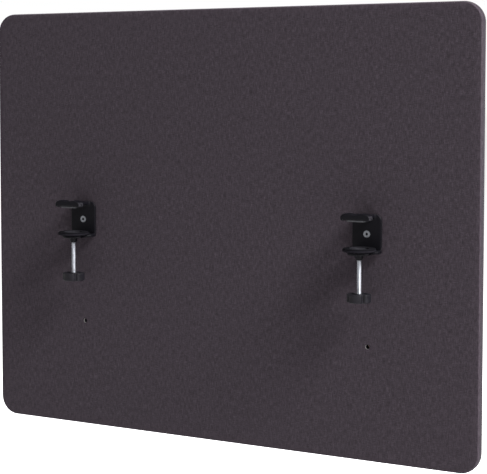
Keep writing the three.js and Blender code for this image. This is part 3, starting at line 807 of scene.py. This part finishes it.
def pressure_disc(name, x):
    """The foot's dish, with a raised rim that holds the liner."""
    profile = rounded([
        (2.3, -39.5, 0.2), (6.2, -39.5, 0.3), (7.2, -38.9, 0.4), (16.6, -38.9, 0.5),
        (17.6, -39.5, 0.3), (20.5, -39.5, 0.6), (22.0, -38.5, 0.5), (22.0, -37.0, 0.3),
        (21.5, -36.5, 0.3), (12.2, -36.5, 0.5), (8.0, -37.9, 0.8), (2.3, -37.9, 0.2),
    ])
    return turned(name, profile, 128, True, None, False, (x, AXIS_Y, 0))


def disc_liner(name, x):
    """Rubber ring on the disc, with three round grooves in its top."""
    bottom, top, groove_floor, cut = -36.2, -35.0, -35.28, 0.12
    corners = [(DISH_RADIUS, bottom, 0.1), (21.2, bottom, 0.1), (21.2, -35.3, 0.1)]
    corners += [(20.9, top, 0.2)]
    for groove in (19.3, 16.9, 14.5):
        corners += [(groove + 0.45, top, cut), (groove + 0.25, groove_floor, cut)]
        corners += [(groove - 0.25, groove_floor, cut), (groove - 0.45, top, cut)]
    corners += [(DISH_RADIUS, top, 0.2)]
    return turned(name, rounded(corners, steps=2), 112, True, None, False, (x, AXIS_Y, 0))


def spindle(name, x):
    """M6 spindle with its rolled thread, a plain neck through the disc, and chamfered ends."""
    top, foot, radius, thread_depth, levels_a_turn = -39.8, -101.7, 3.0, 0.55, 7
    levels = np.arange(foot + 0.6, top - 0.5, M6_PITCH / levels_a_turn)
    profile = [(0.0, foot), (2.35, foot)] + [("thread", level) for level in levels]
    profile += [(2.75, top - 0.3), (2.4, top), (2.0, top)]
    profile += [(2.0, -37.0), (1.75, -36.7), (0.0, -36.7)]

    def shape(kind, angles, height):
        if kind == "thread":
            flank = thread_wave(M6_PITCH, angles, height) * 1.25 - 0.12
            return radius - thread_depth * np.clip(flank, 0, 1)
        return np.full(len(angles), kind)

    return turned(name, profile, 40, False, shape, False, (x, AXIS_Y, 0))


def retaining_ring(name, x):
    """Push-on ring: a flat rim with inner teeth that grip the neck."""
    bore, gap_depth, teeth, gap_edge = 2.3, 0.45, 6, -0.55
    bottom, top = -37.6, -37.0
    profile = [("teeth", bottom), (3.2, bottom), (4.45, bottom), (4.6, -37.45)]
    profile += [(4.6, -37.15), (4.45, top), (3.2, -37.1), ("teeth", top)]

    def shape(kind, angles, height):
        if kind == "teeth":
            return bore + gap_depth * (np.cos(teeth * angles) < gap_edge)
        return np.full(len(angles), kind)

    return turned(name, profile, 96, True, shape, False, (x, AXIS_Y, 0))


def knob(name, x):
    """Hand knob with four flutes.

    Fine grip ribs run round its side, and a collar stands in a recess on top. It is hollow below.
    """
    bottom, top = KNOB
    recess, floor_z, bore = top - 1.0, bottom + 2.0, 3.05
    turns = [step / 5 * math.pi / 2 for step in range(6)]
    edge = [(KNOB_EDGE * (1 - math.cos(a)), KNOB_EDGE * (1 - math.sin(a))) for a in turns]
    side = [(inset, bottom + rise, 0.0) for rise, inset in edge]
    side += [(0.0, bottom + KNOB_EDGE + 0.5, 1.0), (0.0, (top + bottom) / 2, 1.0)]
    side += [(0.0, top - KNOB_EDGE - 0.5, 1.0)]
    side += [(inset, top - fall, 0.0) for inset, fall in edge]
    inner_top = [(10.6, top, 0.3), (9.8, recess, 0.4), (5.9, recess, 0.4), (5.4, top, 0.3)]
    inner_top += [(bore, top, 0.15)]
    inner_bottom = [(bore, bottom + 3.0, 0.2), (3.04, floor_z, 0.1), (10.4, floor_z, 0.8)]
    inner_bottom += [(11.4, bottom, 0.4)]
    profile = [(("side", inset, ribs), z) for inset, z, ribs in side]
    profile += [(r, z) for r, z in rounded(inner_top, False, 3)]
    profile += [(bore, top - 4.0), (bore, bottom + 3.2), (0.0, bottom + 3.2), (0.0, floor_z)]
    profile += [(r, z) for r, z in rounded(inner_bottom, False, 3)[3:]]

    def shape(kind, angles, height):
        if isinstance(kind, tuple):
            _, inset, ribs = kind
            flute = ((1 - np.cos(FLUTES * angles)) / 2) ** FLUTE_SHARPNESS
            outline = KNOB_RADIUS - FLUTE_DEPTH * flute
            return outline - inset - RIB_DEPTH * ribs * (0.5 + 0.5 * np.cos(RIBS * angles))
        return np.full(len(angles), kind)

    return turned(name, profile, 240, True, shape, False, (x, AXIS_Y, 0))


CLAMP_PIECES = (
    ("bracket", bracket, powder, "root", "bracket_paint"),
    ("jaw_pad", jaw_pad, pad_rubber, "root", "pad_rubber"),
    ("mounting_screw", mounting_screw, zinc, "root", "screw_zinc"),
    ("threaded_bush", threaded_bush, powder, "root", "bracket_paint"),
    ("pressure_disc", pressure_disc, disc_plastic, "foot", "black_plastic"),
    ("disc_liner", disc_liner, liner_rubber, "foot", "liner_rubber"),
    ("spindle", spindle, bright_zinc, "screw", "screw_zinc"),
    ("retaining_ring", retaining_ring, zinc, "screw", "screw_zinc"),
    ("knob", knob, plastic, "screw", "black_plastic"),
)
for side, clamp_x in CLAMP_X.items():
    for kind, make, look, body, slot in CLAMP_PIECES:
        rides_on = body if body == "root" else f"{side}_{body}"
        piece = make(f"{side}_{kind}_detailed", clamp_x)
        finish_piece(piece, look, rides_on, slot, f"{side}_{kind}")

# --- CAD pieces that stay ---------------------------------------------------------------------
for node, look in (("core_board", chipboard), ("front_pin_felt", felt), ("back_pin_felt", felt)):
    for material_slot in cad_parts[node].material_slots:
        material_slot.material = look

# --- Stage, light and camera ------------------------------------------------------------------
DESK_HEIGHT = 0.74  # in metres; the frame's origin is on the desk top
FLOOR_HALF = 60.0
floor_half, floor_z = FLOOR_HALF / MM, -DESK_HEIGHT / MM
floor_points = [(sx * floor_half, sy * floor_half, floor_z) for sx, sy in QUARTERS]
floor = mesh_object("floor", floor_points, [(0, 1, 2, 3)])
floor.data.materials.append(floor_look())

world = bpy.data.worlds.new("studio")
bpy.context.scene.world = world
world.use_nodes = True
world.node_tree.nodes["Background"].inputs["Color"].default_value = (1, 1, 1, 1)
world.node_tree.nodes["Background"].inputs["Strength"].default_value = 1.0


def soft_light(name, place, size, power):
    """A square light that faces the frame's origin. Sizes are in metres and the power in watts."""
    lamp = bpy.data.lights.new(name, "AREA")
    lamp.shape = "SQUARE"
    lamp.size = size
    lamp.energy = power
    made = bpy.data.objects.new(name, lamp)
    bpy.context.scene.collection.objects.link(made)
    made.location = place
    made.rotation_euler = (-Vector(place)).to_track_quat("-Z", "Y").to_euler()


soft_light("key", (2.9, -0.72, 2.7), 1.4, 780)
soft_light("top", (0.3, -0.9, 3.0), 2.4, 25)

SENSOR = 36.0
FRAME_WIDTH = 487
FOCAL_PIXELS = 1386
CAMERA_PLACE = (0.9173, -1.6626, 0.1713)
CAMERA_DOWN, CAMERA_TURN = 3.195, 27.793  # degrees
CAMERA_SHIFT = -0.148
VIEW_DEPTH = 300
camera_data = bpy.data.cameras.new("camera")
camera = bpy.data.objects.new("camera", camera_data)
bpy.context.scene.collection.objects.link(camera)
bpy.context.scene.camera = camera
camera_data.sensor_fit = "HORIZONTAL"
camera_data.sensor_width = SENSOR
camera_data.lens = FOCAL_PIXELS / FRAME_WIDTH * SENSOR
camera_data.shift_y = CAMERA_SHIFT
camera_data.clip_end = VIEW_DEPTH
camera.location = CAMERA_PLACE
camera.rotation_euler = (math.radians(90 - CAMERA_DOWN), 0, math.radians(CAMERA_TURN))

bpy.context.scene.view_settings.view_transform = "Standard"
